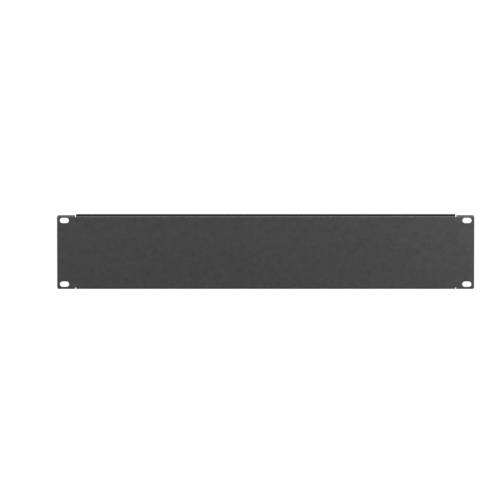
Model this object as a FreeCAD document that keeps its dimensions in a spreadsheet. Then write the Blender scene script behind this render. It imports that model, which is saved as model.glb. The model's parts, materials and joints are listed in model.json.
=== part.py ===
import FreeCAD, Part
import math
import os

import Sketcher

# Two-unit blanking panel for a 19-inch rack: one punched and folded steel sheet.
#
# The face is flat from end to end. Each end is an ear with two round-ended slots for the rack
# screws. Between the ears the long top and bottom edges are folded back through a right angle, as
# stiffening flanges, and a narrow relief notch frees each end of each fold.
#
# Frame: X runs along the panel and Z up. The plane Y = 0 is the rear face, which seats on the
# rack's rails, and +Y points into the rack. The origin lies on it, midway between the slots.
# Lengths are in mm.

NODE = "blanking_panel"

SIZES = [
    ("rack_unit", 44.45, "height of one rack unit"),
    ("units_high", 2, "rack units that the panel covers"),
    ("height_gap", 0.8, "how much lower the panel is than its rack units"),
    ("hole_from_unit", 6.35, "edge of a rack unit to the middle of its nearest rail hole"),
    ("slot_pitch", 465.1, "middle to middle of the two columns of slots"),
    ("slot_to_end", 8.45, "middle of a slot to the panel's end"),
    ("slot_to_notch", 12.35, "middle of a slot to the relief notch"),
    ("slot_width", 6.6, "clears an M6 screw"),
    ("slot_travel", 3.9, "between the centres of a slot's round ends"),
    ("sheet_thickness", 1.2, "cold-rolled steel with its coat"),
    ("bend_radius", 0.6, "inside of the folds"),
    ("flange_depth", 7.0, "front face to a flange's free edge"),
    ("relief_width", 1.1, "across a relief notch"),
    ("relief_corner_radius", 0.25, "inner corners of the relief notches"),
    ("ear_corner_radius", 2.75, "outer corners of the ears"),
    ("notch_corner_radius", 0.6, "corners between the ears and the notches"),
    ("flange_corner_radius", 1.0, "free corners of the flanges"),
    ("edge_radius", 0.2, "outer cut edges, rolled over by the punch and smoothed by the coat"),
]

WORKED_OUT = [
    ("half_width", "Sizes.slot_pitch / 2 + Sizes.slot_to_end"),
    ("half_height", "(Sizes.units_high * Sizes.rack_unit - Sizes.height_gap) / 2"),
    ("half_slot_rows", "Sizes.units_high * Sizes.rack_unit / 2 - Sizes.hole_from_unit"),
    ("half_notches", "Sizes.slot_pitch / 2 - Sizes.slot_to_notch"),
    ("half_flange", "half_notches - Sizes.relief_width"),
    ("outer_radius", "Sizes.bend_radius + Sizes.sheet_thickness"),
    ("fold_line", "half_height - outer_radius"),
    ("notch_foot", "fold_line - Sizes.relief_corner_radius"),
    ("free_edge", "Sizes.flange_depth - Sizes.sheet_thickness"),
]

START, END, CENTRE = 1, 2, 3  # points of a sketched line or arc
ORIGIN = (-1, START)  # the sketch's own origin
UPRIGHT = -2  # the sketch's vertical axis
CLEAR = 5.0  # how far a cutting outline runs past the sheet
TOUCH = 0.001  # places closer than this are the same place

doc = FreeCAD.newDocument("BlankingPanel")


# --- Dimensions ---------------------------------------------------------------------------------

driving = doc.addObject("Spreadsheet::Sheet", "Sizes")
for row, (name, number, meaning) in enumerate(SIZES, start=1):
    driving.set(f"A{row}", str(number))
    driving.setAlias(f"A{row}", name)
    driving.set(f"B{row}", meaning)

derived = doc.addObject("Spreadsheet::Sheet", "Derived")
for row, (name, formula) in enumerate(WORKED_OUT, start=1):
    derived.set(f"A{row}", f"={formula}")
    derived.setAlias(f"A{row}", name)
doc.recompute()


def value(cell):
    """The number in a spreadsheet's cell, such as "Sizes.slot_width"."""
    sheet, alias = cell.split(".")
    return float(doc.getObject(sheet).get(alias))


half_width = value("Derived.half_width")
half_height = value("Derived.half_height")
half_notches = value("Derived.half_notches")
half_flange = value("Derived.half_flange")
fold_line = value("Derived.fold_line")
notch_foot = value("Derived.notch_foot")
free_edge = value("Derived.free_edge")
sheet_thickness = value("Sizes.sheet_thickness")
slot_top = value("Derived.half_slot_rows") + value("Sizes.slot_width") / 2


# --- Sketches and features ----------------------------------------------------------------------

body = doc.addObject("PartDesign::Body", NODE)
body.Label = NODE


def origin_plane(role):
    """The plane of the body's own origin that has this role."""
    return next(item for item in body.Origin.OriginFeatures if item.Role == role)


def new_sketch(name, role):
    """An empty sketch on one of the origin's planes."""
    sketch = body.newObject("Sketcher::SketchObject", name)
    sketch.AttachmentSupport = [(origin_plane(role), "")]
    sketch.MapMode = "FlatFace"
    return sketch


def line(sketch, start, end):
    """Draws a straight line and returns its number."""
    segment = Part.LineSegment(FreeCAD.Vector(*start, 0), FreeCAD.Vector(*end, 0))
    return sketch.addGeometry(segment, False)


def arc(sketch, centre, radius, first, last):
    """Draws an arc, counter-clockwise between two angles in degrees, and returns its number."""
    circle = Part.Circle(FreeCAD.Vector(*centre, 0), FreeCAD.Vector(0, 0, 1), radius)
    piece = Part.ArcOfCircle(circle, math.radians(first), math.radians(last))
    return sketch.addGeometry(piece, False)


def polyline(sketch, points, closed=False):
    """Draws lines from point to point, joined end to end, and returns their numbers."""
    ends = points[1:] + points[:1] if closed else points[1:]
    lines = [line(sketch, start, end) for start, end in zip(points, ends)]
    followers = lines[1:] + lines[:1] if closed else lines[1:]
    for this, following in zip(lines, followers):
        constrain(sketch, "Coincident", this, END, following, START)
    return lines


def constrain(sketch, kind, *places):
    """Adds a rule that needs no number, such as Horizontal or Tangent."""
    sketch.addConstraint(Sketcher.Constraint(kind, *places))


def as_drawn(sketch, kind, places):
    """What a dimension would read on the sketch as it stands."""
    if kind == "Radius":
        return sketch.Geometry[places[0]].Radius
    step = sketch.getPoint(*places[2:]) - sketch.getPoint(*places[:2])
    return step.x if kind == "DistanceX" else step.y


def dimension(sketch, name, formula, kind, *places):
    """Adds a dimension and binds it to the spreadsheets."""
    drawn = as_drawn(sketch, kind, places)
    number = sketch.addConstraint(Sketcher.Constraint(kind, *places, drawn))
    sketch.renameConstraint(number, name)
    sketch.setExpression(f"Constraints.{name}", formula)


def feature(kind, name, profile=None):
    """A new feature of the body, made from a sketch if it has one."""
    made = body.newObject(f"PartDesign::{kind}", name)
    if profile:
        made.Profile = profile
    return made


def finish(made, before=None, volume=0.0):
    """Recomputes, and stops at a failed object or at a change of volume other than the one due."""
    doc.recompute()
    for item in doc.Objects:
        if "Invalid" in item.State or "Error" in item.State:
            raise RuntimeError(f"{item.Name} failed: {item.State}")
        if item.isDerivedFrom("Sketcher::SketchObject") and not item.FullyConstrained:
            raise RuntimeError(f"{item.Name} is not fully constrained")
    if before:
        change = made.Shape.Volume - before.Shape.Volume
        if abs(change - volume) > 0.001 * abs(volume):
            raise RuntimeError(f"{made.Name} changed {change:.2f} mm3 where {volume:.2f} was due")
    return made


# --- Face ---------------------------------------------------------------------------------------


def face_sheet():
    """The flat sheet from the rear face forwards, over the whole outline of the panel."""
    corner = (half_width, half_height)
    sketch = new_sketch("face_outline", "XZ_Plane")
    points = [(-corner[0], -corner[1]), (corner[0], -corner[1]), corner, (-corner[0], corner[1])]
    bottom, right, top, left = polyline(sketch, points, closed=True)
    for level in (bottom, top):
        constrain(sketch, "Horizontal", level)
    for side in (left, right):
        constrain(sketch, "Vertical", side)
    constrain(sketch, "Symmetric", bottom, START, top, START, *ORIGIN)
    dimension(sketch, "half_width", "Derived.half_width", "DistanceX", *ORIGIN, top, START)
    dimension(sketch, "half_height", "Derived.half_height", "DistanceY", *ORIGIN, top, START)
    pad = feature("Pad", "face_sheet", sketch)
    pad.setExpression("Length", "Sizes.sheet_thickness")
    return finish(pad)


# --- Folds --------------------------------------------------------------------------------------


def fold_opening(sheet):
    """Clears the face above the fold line, down to the foot of a relief notch at each end."""
    corner = value("Sizes.relief_corner_radius")
    width = half_notches - half_flange
    near, far = half_flange + corner, half_notches - corner
    above = half_height + CLEAR
    sketch = new_sketch("fold_opening_outline", "XZ_Plane")
    fold = line(sketch, (-half_flange, fold_line), (half_flange, fold_line))
    right_near = arc(sketch, (near, fold_line), corner, 180, 270)
    right_foot = line(sketch, (near, notch_foot), (far, notch_foot))
    right_far = arc(sketch, (far, fold_line), corner, 270, 360)
    corners = [(half_notches, fold_line), (half_notches, above)]
    corners += [(-half_notches, above), (-half_notches, fold_line)]
    right, top, left = polyline(sketch, corners)
    left_far = arc(sketch, (-far, fold_line), corner, 180, 270)
    left_foot = line(sketch, (-far, notch_foot), (-near, notch_foot))
    left_near = arc(sketch, (-near, fold_line), corner, 270, 360)
    constrain(sketch, "Coincident", fold, END, right_near, START)
    constrain(sketch, "Tangent", right_near, END, right_foot, START)
    constrain(sketch, "Tangent", right_foot, END, right_far, START)
    constrain(sketch, "Tangent", right_far, END, right, START)
    constrain(sketch, "Tangent", left, END, left_far, START)
    constrain(sketch, "Tangent", left_far, END, left_foot, START)
    constrain(sketch, "Tangent", left_foot, END, left_near, START)
    constrain(sketch, "Coincident", left_near, END, fold, START)
    for level in (right_foot, left_foot, top):
        constrain(sketch, "Horizontal", level)
    for side in (right, left):
        constrain(sketch, "Vertical", side)
    for radius in (right_far, left_far, left_near):
        constrain(sketch, "Equal", right_near, radius)
    constrain(sketch, "Equal", right_foot, left_foot)
    constrain(sketch, "Symmetric", fold, START, fold, END, UPRIGHT)
    constrain(sketch, "Horizontal", right_near, CENTRE, right_near, START)
    constrain(sketch, "Horizontal", left_near, CENTRE, left_near, END)
    dimension(sketch, "fold_line", "Derived.fold_line", "DistanceY", *ORIGIN, fold, END)
    dimension(sketch, "half_flange", "Derived.half_flange", "DistanceX", *ORIGIN, fold, END)
    dimension(sketch, "half_notches", "Derived.half_notches", "DistanceX", *ORIGIN, right, START)
    dimension(sketch, "above", f"Derived.half_height + {CLEAR}", "DistanceY", *ORIGIN, right, END)
    dimension(sketch, "corner", "Sizes.relief_corner_radius", "Radius", right_near)
    cut = feature("Pocket", "fold_opening", sketch)
    cut.Type = "ThroughAll"
    cut.Reversed = True
    strip = 2 * half_notches * (half_height - fold_line)
    left_in_corners = (2 - math.pi / 2) * corner**2
    feet = 2 * (width * corner - left_in_corners)
    return finish(cut, sheet, -(strip + feet) * sheet_thickness)


def top_flange(opened):
    """The top fold and its flange: a section of the bent sheet, padded along the fold line."""
    inner = value("Sizes.bend_radius")
    outer = inner + sheet_thickness
    underside = half_height - sheet_thickness
    sketch = new_sketch("flange_section", "YZ_Plane")
    outside = arc(sketch, (inner, fold_line), outer, 90, 180)
    inside = arc(sketch, (inner, fold_line), inner, 90, 180)
    seam = line(sketch, (-sheet_thickness, fold_line), (0, fold_line))
    corners = [(inner, underside), (free_edge, underside)]
    corners += [(free_edge, half_height), (inner, half_height)]
    below, end, above = polyline(sketch, corners)
    constrain(sketch, "Coincident", outside, CENTRE, inside, CENTRE)
    constrain(sketch, "Coincident", outside, END, seam, START)
    constrain(sketch, "Coincident", seam, END, inside, END)
    constrain(sketch, "Tangent", inside, START, below, START)
    constrain(sketch, "Tangent", above, END, outside, START)
    for level in (seam, below, above):
        constrain(sketch, "Horizontal", level)
    constrain(sketch, "Horizontal", inside, CENTRE, seam, END)
    constrain(sketch, "Vertical", end)
    constrain(sketch, "PointOnObject", seam, END, UPRIGHT)
    dimension(sketch, "inner_radius", "Sizes.bend_radius", "Radius", inside)
    dimension(sketch, "outer_radius", "Derived.outer_radius", "Radius", outside)
    dimension(sketch, "free_edge", "Derived.free_edge", "DistanceX", *ORIGIN, end, END)
    dimension(sketch, "top", "Derived.half_height", "DistanceY", *ORIGIN, end, END)
    pad = feature("Pad", "top_flange", sketch)
    pad.SideType = "Symmetric"
    pad.setExpression("Length", "2 * Derived.half_flange")
    bend = math.pi / 4 * (outer**2 - inner**2)
    flat = (free_edge - inner) * sheet_thickness
    return finish(pad, opened, (bend + flat) * 2 * half_flange)


def bottom_flange(opened, flanged):
    """The same opening, fold and flange along the bottom edge."""
    mirror = feature("Mirrored", "bottom_flange")
    mirror.Originals = [opened, flanged]
    mirror.MirrorPlane = (origin_plane("XY_Plane"), [""])
    body.Tip = mirror
    return finish(mirror)


# --- Slots --------------------------------------------------------------------------------------


def first_slot(folded):
    """Punches the top right slot, which lies along X to take up the rack's tolerance."""
    across = value("Sizes.slot_pitch") / 2
    up = value("Derived.half_slot_rows")
    radius = value("Sizes.slot_width") / 2
    travel = value("Sizes.slot_travel")
    left, right = across - travel / 2, across + travel / 2
    sketch = new_sketch("slot_outline", "XZ_Plane")
    left_end = arc(sketch, (left, up), radius, 90, 270)
    right_end = arc(sketch, (right, up), radius, -90, 90)
    below = line(sketch, (left, up - radius), (right, up - radius))
    above = line(sketch, (right, up + radius), (left, up + radius))
    constrain(sketch, "Tangent", left_end, END, below, START)
    constrain(sketch, "Tangent", below, END, right_end, START)
    constrain(sketch, "Tangent", right_end, END, above, START)
    constrain(sketch, "Tangent", above, END, left_end, START)
    constrain(sketch, "Equal", left_end, right_end)
    constrain(sketch, "Horizontal", below)
    middle_left = "Sizes.slot_pitch / 2 - Sizes.slot_travel / 2"
    dimension(sketch, "radius", "Sizes.slot_width / 2", "Radius", right_end)
    dimension(sketch, "left", middle_left, "DistanceX", *ORIGIN, left_end, CENTRE)
    dimension(sketch, "travel", "Sizes.slot_travel", "DistanceX", left_end, CENTRE, right_end, CENTRE)
    dimension(sketch, "up", "Derived.half_slot_rows", "DistanceY", *ORIGIN, right_end, CENTRE)
    cut = feature("Pocket", "first_slot", sketch)
    cut.Type = "ThroughAll"
    cut.Reversed = True
    opening = math.pi * radius**2 + travel * 2 * radius
    return finish(cut, folded, -opening * sheet_thickness)


def all_slots(folded, slotted):
    """Repeats the slot across to the other ear, and both of them down to the lower row."""
    pattern = feature("MultiTransform", "all_slots")
    pattern.Originals = [slotted]
    mirrors = [feature("Mirrored", f"slots_{way}") for way in ("across", "down")]
    for mirror, role in zip(mirrors, ("YZ_Plane", "XY_Plane")):
        mirror.MirrorPlane = (origin_plane(role), [""])
    pattern.Transformations = mirrors
    body.Tip = pattern
    one_slot = slotted.Shape.Volume - folded.Shape.Volume
    return finish(pattern, slotted, 3 * one_slot)


# --- Corners and edges --------------------------------------------------------------------------


def edges_at(shape, **distances):
    """Names of the edges whose middles are this far, on either side, from the origin's planes."""
    names = []
    for number, edge in enumerate(shape.Edges, start=1):
        middle = edge.valueAt((edge.FirstParameter + edge.LastParameter) / 2)
        misses = [abs(getattr(middle, axis)) - away for axis, away in distances.items()]
        if max(abs(miss) for miss in misses) < TOUCH:
            names.append(f"Edge{number}")
    return names


def rounded(name, before, edges, radius):
    """Rounds the named edges."""
    fillet = feature("Fillet", name)
    fillet.Base = (before, edges)
    fillet.setExpression("Radius", radius)
    return finish(fillet)


# --- The panel ----------------------------------------------------------------------------------

sheet = face_sheet()
opened = fold_opening(sheet)
flanged = top_flange(opened)
folded = bottom_flange(opened, flanged)
slotted = first_slot(folded)
punched = all_slots(folded, slotted)

ear_corners = edges_at(punched.Shape, x=half_width, z=half_height)
trimmed = rounded("ear_corners", punched, ear_corners, "Sizes.ear_corner_radius")

notch_corners = edges_at(trimmed.Shape, x=half_notches, z=half_height)
eased = rounded("notch_corners", trimmed, notch_corners, "Sizes.notch_corner_radius")

flange_corners = edges_at(eased.Shape, x=half_flange, y=free_edge)
clipped = rounded("flange_corners", eased, flange_corners, "Sizes.flange_corner_radius")

# A fillet runs on round the whole smooth loop that its edge belongs to: here the blank's outline,
# over both folds, and each slot's rim. The rear edges stay sharp, where the punch came out.
outline = edges_at(clipped.Shape, x=half_width, y=sheet_thickness)
slot_rims = edges_at(clipped.Shape, y=sheet_thickness, z=slot_top)
rounded("rolled_edges", clipped, outline + slot_rims, "Sizes.edge_radius")


# --- Files --------------------------------------------------------------------------------------

if body.Shape.isNull() or not body.Shape.isValid() or len(body.Shape.Solids) != 1:
    raise RuntimeError(f"{body.Label} is not one valid solid")
os.makedirs("parts", exist_ok=True)
body.Shape.exportStep(f"parts/{body.Label}.step")
print(f"{body.Label}: {body.Shape.Volume / 1000:.2f} cm3, {len(body.Shape.Faces)} faces")
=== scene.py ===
import json
import math

import bmesh
import bpy
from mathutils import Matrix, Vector


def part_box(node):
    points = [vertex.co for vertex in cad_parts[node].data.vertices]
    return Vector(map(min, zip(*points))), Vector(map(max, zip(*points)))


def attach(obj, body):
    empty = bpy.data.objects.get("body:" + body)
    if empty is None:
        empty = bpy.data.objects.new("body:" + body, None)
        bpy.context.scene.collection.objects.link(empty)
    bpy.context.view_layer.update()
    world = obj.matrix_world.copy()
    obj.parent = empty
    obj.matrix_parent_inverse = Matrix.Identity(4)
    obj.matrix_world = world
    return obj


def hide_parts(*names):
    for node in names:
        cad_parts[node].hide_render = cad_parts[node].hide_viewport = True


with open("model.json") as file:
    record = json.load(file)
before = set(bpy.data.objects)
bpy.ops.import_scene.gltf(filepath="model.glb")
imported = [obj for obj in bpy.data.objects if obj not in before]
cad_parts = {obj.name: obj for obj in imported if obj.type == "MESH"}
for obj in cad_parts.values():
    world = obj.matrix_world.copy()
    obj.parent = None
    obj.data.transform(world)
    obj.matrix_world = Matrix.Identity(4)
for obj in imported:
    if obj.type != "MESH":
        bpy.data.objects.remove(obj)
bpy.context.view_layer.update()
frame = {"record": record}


# --- Punched blank ------------------------------------------------------------------------------
# The panel starts as one flat piece of 1.2 mm steel sheet. A punch cuts its whole outline, with
# the ears, the relief notches and the four slots. It rolls the front edges over a little, and
# leaves the rear ones almost sharp.

MM = 0.001

panel_low, panel_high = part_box("blanking_panel")
half_width = panel_high[0]
half_height = panel_high[2]
sheet_thickness = -panel_low[1]
free_edge = panel_high[1]

bend_radius = 0.6 * MM
neutral_share = 0.4  # of the thickness: the layer that a fold neither stretches nor squeezes
bend_length = math.pi / 2 * (bend_radius + neutral_share * sheet_thickness)
fold_line = half_height - sheet_thickness - bend_radius
blank_half_height = fold_line + bend_length + free_edge - bend_radius

rail_slots = frame["record"]["mounts"][0]["dims"]
slot_across = rail_slots["spacing_x_mm"] / 2 * MM
slot_up = rail_slots["spacing_y_mm"] / 2 * MM
slot_radius = rail_slots["hole_r_mm"] * MM
slot_travel = rail_slots["slot_length_mm"] * MM - 2 * slot_radius

slot_to_notch = 12.35 * MM
notch_width = 1.1 * MM
notch_wall = slot_across - slot_to_notch
flange_end = notch_wall - notch_width

OUTWARD, INWARD = 1, -1  # whether a round edge bulges off the sheet or bites into it


def cut_arc(across, up, radius, first, last, side, steps=14):
    """Points round an arc of the cut edge, each with the direction that leads off the sheet."""
    trace = []
    for step in range(steps + 1):
        angle = math.radians(first + (last - first) * step / steps)
        spoke = Vector((math.cos(angle), math.sin(angle)))
        trace.append((Vector((across, up)) + radius * spoke, side * spoke))
    return trace


def mirrored(trace, flip_x, flip_z):
    """The same trace in another quarter of the panel, still in anticlockwise order."""
    flip = Vector((flip_x, flip_z))
    copy = [(point * flip, away * flip) for point, away in trace]
    return copy if flip_x == flip_z else copy[::-1]


def blank_outline():
    """The cut edge of the whole blank: one quarter of it, mirrored into all four."""
    ear, corner, relief, tip = 2.75 * MM, 0.6 * MM, 0.25 * MM, 1.0 * MM
    quarter = cut_arc(half_width - ear, half_height - ear, ear, 0, 90, OUTWARD)
    quarter += cut_arc(notch_wall + corner, half_height - corner, corner, 90, 180, OUTWARD)
    quarter += cut_arc(notch_wall - relief, fold_line, relief, 0, -90, INWARD)
    quarter += cut_arc(flange_end + relief, fold_line, relief, -90, -180, INWARD)
    quarter += cut_arc(flange_end - tip, blank_half_height - tip, tip, 0, 90, OUTWARD)
    return sum((mirrored(quarter, *flips) for flips in ((1, 1), (-1, 1), (-1, -1), (1, -1))), [])


def slot_outline(flip_x, flip_z):
    """The cut edge of one slot."""
    reach = slot_travel / 2
    ends = cut_arc(slot_across + reach, slot_up, slot_radius, 90, -90, INWARD, steps=28)
    ends += cut_arc(slot_across - reach, slot_up, slot_radius, 270, 90, INWARD, steps=28)
    return mirrored(ends, flip_x, flip_z)


def edge_section():
    """The cut edge in section, front to rear: how far in from the cut, and how far forward."""
    rolled, sharp, flat_rim, steps = 0.2 * MM, 0.06 * MM, 0.3 * MM, 4
    section = [(rolled + flat_rim, sheet_thickness)]
    for step in range(steps + 1):
        turn = math.pi / 2 * step / steps
        drop = rolled * (1 - math.cos(turn))
        section.append((rolled * (1 - math.sin(turn)), sheet_thickness - drop))
    for step in range(steps + 1):
        turn = math.pi / 2 * step / steps
        section.append((sharp * (1 - math.cos(turn)), sharp * (1 - math.sin(turn))))
    section.append((sharp + flat_rim, 0.0))
    return section


def punch(blank, outline):
    """Adds the wall of one cut edge, and returns the edges of its front and rear rims."""
    rings = []
    for inset, depth in edge_section():
        places = [point - away * inset for point, away in outline]
        rings.append([blank.verts.new((place.x, place.y, depth)) for place in places])
    count = len(outline)
    for front, rear in zip(rings, rings[1:]):
        for here in range(count):
            there = (here + 1) % count
            blank.faces.new((front[here], front[there], rear[there], rear[here]))
    rims = []
    for ring in (rings[0], rings[-1]):
        rims.append([blank.edges.get((ring[i], ring[(i + 1) % count])) for i in range(count)])
    return rims


blank = bmesh.new()
cuts = [blank_outline()] + [slot_outline(fx, fz) for fx in (1, -1) for fz in (1, -1)]
front_rims, rear_rims = zip(*(punch(blank, cut) for cut in cuts))
for rims in (front_rims, rear_rims):
    bmesh.ops.triangle_fill(blank, edges=sum(rims, []), use_beauty=True, use_dissolve=False)


# --- Folds --------------------------------------------------------------------------------------
# A press brake folds both long edges back through a right angle, as flanges that stiffen the face.
# The metal turns about a small inner radius, and the outside follows it one thickness further out.

BEND_STEPS = 12

for side in (1, -1):
    for step in range(BEND_STEPS + 1):
        cut_height = side * (fold_line + bend_length * step / BEND_STEPS)
        everything = blank.verts[:] + blank.edges[:] + blank.faces[:]
        bmesh.ops.bisect_plane(
            blank, geom=everything, dist=1e-7, plane_co=(0, cut_height, 0), plane_no=(0, 1, 0)
        )


def folded(across, up, depth):
    """Where a point of the flat blank lies once both edges are folded."""
    past_fold = abs(up) - fold_line
    side = math.copysign(1, up)
    if past_fold <= 0:
        return across, -depth, up
    if past_fold < bend_length:
        turn = math.pi / 2 * past_fold / bend_length
        radius = bend_radius + depth
        height = fold_line + radius * math.sin(turn)
        return across, bend_radius - radius * math.cos(turn), side * height
    flat_height = fold_line + bend_radius + depth
    return across, bend_radius + past_fold - bend_length, side * flat_height


for corner in blank.verts:
    corner.co = folded(*corner.co)
bmesh.ops.recalc_face_normals(blank, faces=blank.faces[:])

mesh = bpy.data.meshes.new("folded_panel")
blank.to_mesh(mesh)
blank.free()
mesh.shade_smooth()
panel = bpy.data.objects.new("folded_panel", mesh)
bpy.context.collection.objects.link(panel)
even_shading = panel.modifiers.new("even_shading", "WEIGHTED_NORMAL")
even_shading.weight = 100

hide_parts("blanking_panel")
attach(panel, "root")


# --- Powder coat --------------------------------------------------------------------------------
# The steel is sprayed with black polyester powder and baked. It sets to a satin skin with a fine,
# even grain, and a faint cloudiness where the powder lay thicker or thinner. The carbon in it lies
# so close under the surface that the skin shines more than clear plastic would.


def powder_coat():
    """Black satin powder coat with a fine grain."""
    coat = bpy.data.materials.new("satin_black_powder_coat")
    coat.use_nodes = True
    nodes, links = coat.node_tree.nodes, coat.node_tree.links
    place = nodes.new("ShaderNodeTexCoord")
    surface = nodes["Principled BSDF"]
    surface.inputs["IOR"].default_value = 1.8

    def speckle(name, size, detail=2.0):
        """A noise whose lumps are about this size."""
        noise = nodes.new("ShaderNodeTexNoise")
        noise.name = name
        noise.inputs["Scale"].default_value = 1 / size
        noise.inputs["Detail"].default_value = detail
        links.new(place.outputs["Object"], noise.inputs["Vector"])
        return noise.outputs["Fac"]

    def spread(source, low, high):
        """Stretches the middle of a noise, where nearly all of it lies, over these values."""
        ramp = nodes.new("ShaderNodeMapRange")
        ramp.inputs["From Min"].default_value = 0.3
        ramp.inputs["From Max"].default_value = 0.7
        ramp.inputs["To Min"].default_value = low
        ramp.inputs["To Max"].default_value = high
        links.new(source, ramp.inputs["Value"])
        return ramp.outputs["Result"]

    def bump(height, depth, below=None):
        """Raises the surface by a noise, on top of another bump if there is one."""
        raised = nodes.new("ShaderNodeBump")
        raised.inputs["Strength"].default_value = 1.0
        raised.inputs["Distance"].default_value = depth
        links.new(height, raised.inputs["Height"])
        if below:
            links.new(below, raised.inputs["Normal"])
        return raised.outputs["Normal"]

    thin_coat, thick_coat = (0.0355, 0.0355, 0.0355, 1), (0.0450, 0.0450, 0.0450, 1)
    cloud = nodes.new("ShaderNodeMix")
    cloud.data_type = "RGBA"
    cloud.inputs["A"].default_value = thin_coat
    cloud.inputs["B"].default_value = thick_coat
    links.new(spread(speckle("cloud", 3.5 * MM), 0, 1), cloud.inputs["Factor"])
    links.new(cloud.outputs["Result"], surface.inputs["Base Color"])

    links.new(spread(speckle("sheen", 6 * MM), 0.34, 0.40), surface.inputs["Roughness"])

    orange_peel = bump(speckle("orange_peel", 1.6 * MM), 0.016 * MM)
    grain = bump(speckle("grain", 0.4 * MM, detail=3.0), 0.032 * MM, below=orange_peel)
    links.new(grain, surface.inputs["Normal"])
    return coat


panel.data.materials.append(powder_coat())


# --- Studio -------------------------------------------------------------------------------------
# A white cove all round the panel. A wide soft box stands ahead of it, from its own level upwards,
# and a smaller one close by at each end. Two more stand low behind it, well out to the sides, so
# that the flanges' tops don't glare.


def cove():
    """A round floor that curves up into a wall and closes overhead."""
    floor_radius, corner_radius, wall_top, crown = 24.0, 4.0, 12.0, 18.0
    corner_steps, around = 12, 64
    profile = [(0.0, 0.0), (floor_radius, 0.0)]
    for step in range(1, corner_steps + 1):
        turn = math.pi / 2 * step / corner_steps
        rise = corner_radius * (1 - math.cos(turn))
        profile.append((floor_radius + corner_radius * math.sin(turn), rise))
    profile += [(floor_radius + corner_radius, wall_top), (0.0, crown)]
    verts, faces = [], []
    for radius, rise in profile:
        for step in range(around):
            turn = 2 * math.pi * step / around
            verts.append((radius * math.cos(turn), radius * math.sin(turn), panel_low[2] + rise))
    for ring in range(len(profile) - 1):
        for step in range(around):
            here, there = ring * around + step, ring * around + (step + 1) % around
            faces.append((here, there, there + around, here + around))
    shell = bpy.data.meshes.new("white_cove")
    shell.from_pydata(verts, [], faces)
    shell.validate()
    shell.shade_smooth()
    built = bpy.data.objects.new("white_cove", shell)
    bpy.context.collection.objects.link(built)
    return built


def evenly_lit_white():
    """White paper, lit a shade past full white and so evenly that it shows no shadow."""
    paper = bpy.data.materials.new("evenly_lit_white")
    paper.use_nodes = True
    nodes = paper.node_tree.nodes
    nodes.clear()
    glow = nodes.new("ShaderNodeEmission")
    glow.inputs["Color"].default_value = (1, 1, 1, 1)
    glow.inputs["Strength"].default_value = 1.03
    out = nodes.new("ShaderNodeOutputMaterial")
    paper.node_tree.links.new(glow.outputs["Emission"], out.inputs["Surface"])
    return paper


backdrop = cove()
backdrop.data.materials.append(evenly_lit_white())
backdrop.visible_diffuse = False
backdrop.visible_glossy = False
backdrop.visible_shadow = False


def soft_box(name, place, size, brightness):
    """A rectangular soft box that faces the panel, as bright all over whatever its size."""
    lamp = bpy.data.lights.new(name, "AREA")
    lamp.shape = "RECTANGLE"
    lamp.size, lamp.size_y = size
    lamp.energy = brightness * math.pi * size[0] * size[1]
    box = bpy.data.objects.new(name, lamp)
    box.location = place
    box.rotation_euler = (-Vector(place)).to_track_quat("-Z", "Y").to_euler()
    bpy.context.collection.objects.link(box)


soft_box("front_box", (-1.3, -4.6, 1.3), (4.8, 2.4), 4.0)
soft_box("right_box", (0.52, -0.36, 0.16), (0.8, 0.7), 1.5)
soft_box("left_box", (-0.62, -0.5, 0.2), (0.6, 0.5), 1.15)
soft_box("rear_box_left", (-2.9, 1.55, 0.3), (2.0, 1.0), 12.0)
soft_box("rear_box_right", (2.9, 1.55, 0.3), (2.0, 1.0), 12.0)

dim_room = bpy.data.worlds.new("dim_room")
dim_room.use_nodes = True
stray_light = dim_room.node_tree.nodes["Background"].inputs
stray_light["Color"].default_value = (1, 1, 1, 1)
stray_light["Strength"].default_value = 0.01
bpy.context.scene.world = dim_room
bpy.context.scene.view_settings.view_transform = "Standard"


# --- Camera -------------------------------------------------------------------------------------
# A long lens far off, square to the panel and a little above it, so that all level edges stay level
# and the strip of the top flange shows. The panel sits a little right of the middle.

CAMERA_DISTANCE = 20.0
CAMERA_RISE = math.radians(15.0)
FIELD_WIDTH = 0.5777  # at the panel

lens = bpy.data.cameras.new("long_lens")
lens.sensor_width = 36.0
lens.lens = lens.sensor_width * CAMERA_DISTANCE / FIELD_WIDTH
camera = bpy.data.objects.new("camera", lens)
bpy.context.collection.objects.link(camera)
aim = Vector((-0.0181, 0.0, 0.0026))
to_camera = Vector((0.0, -math.cos(CAMERA_RISE), math.sin(CAMERA_RISE)))
camera.location = aim + CAMERA_DISTANCE * to_camera
camera.rotation_euler = (-to_camera).to_track_quat("-Z", "Y").to_euler()
bpy.context.scene.camera = camera
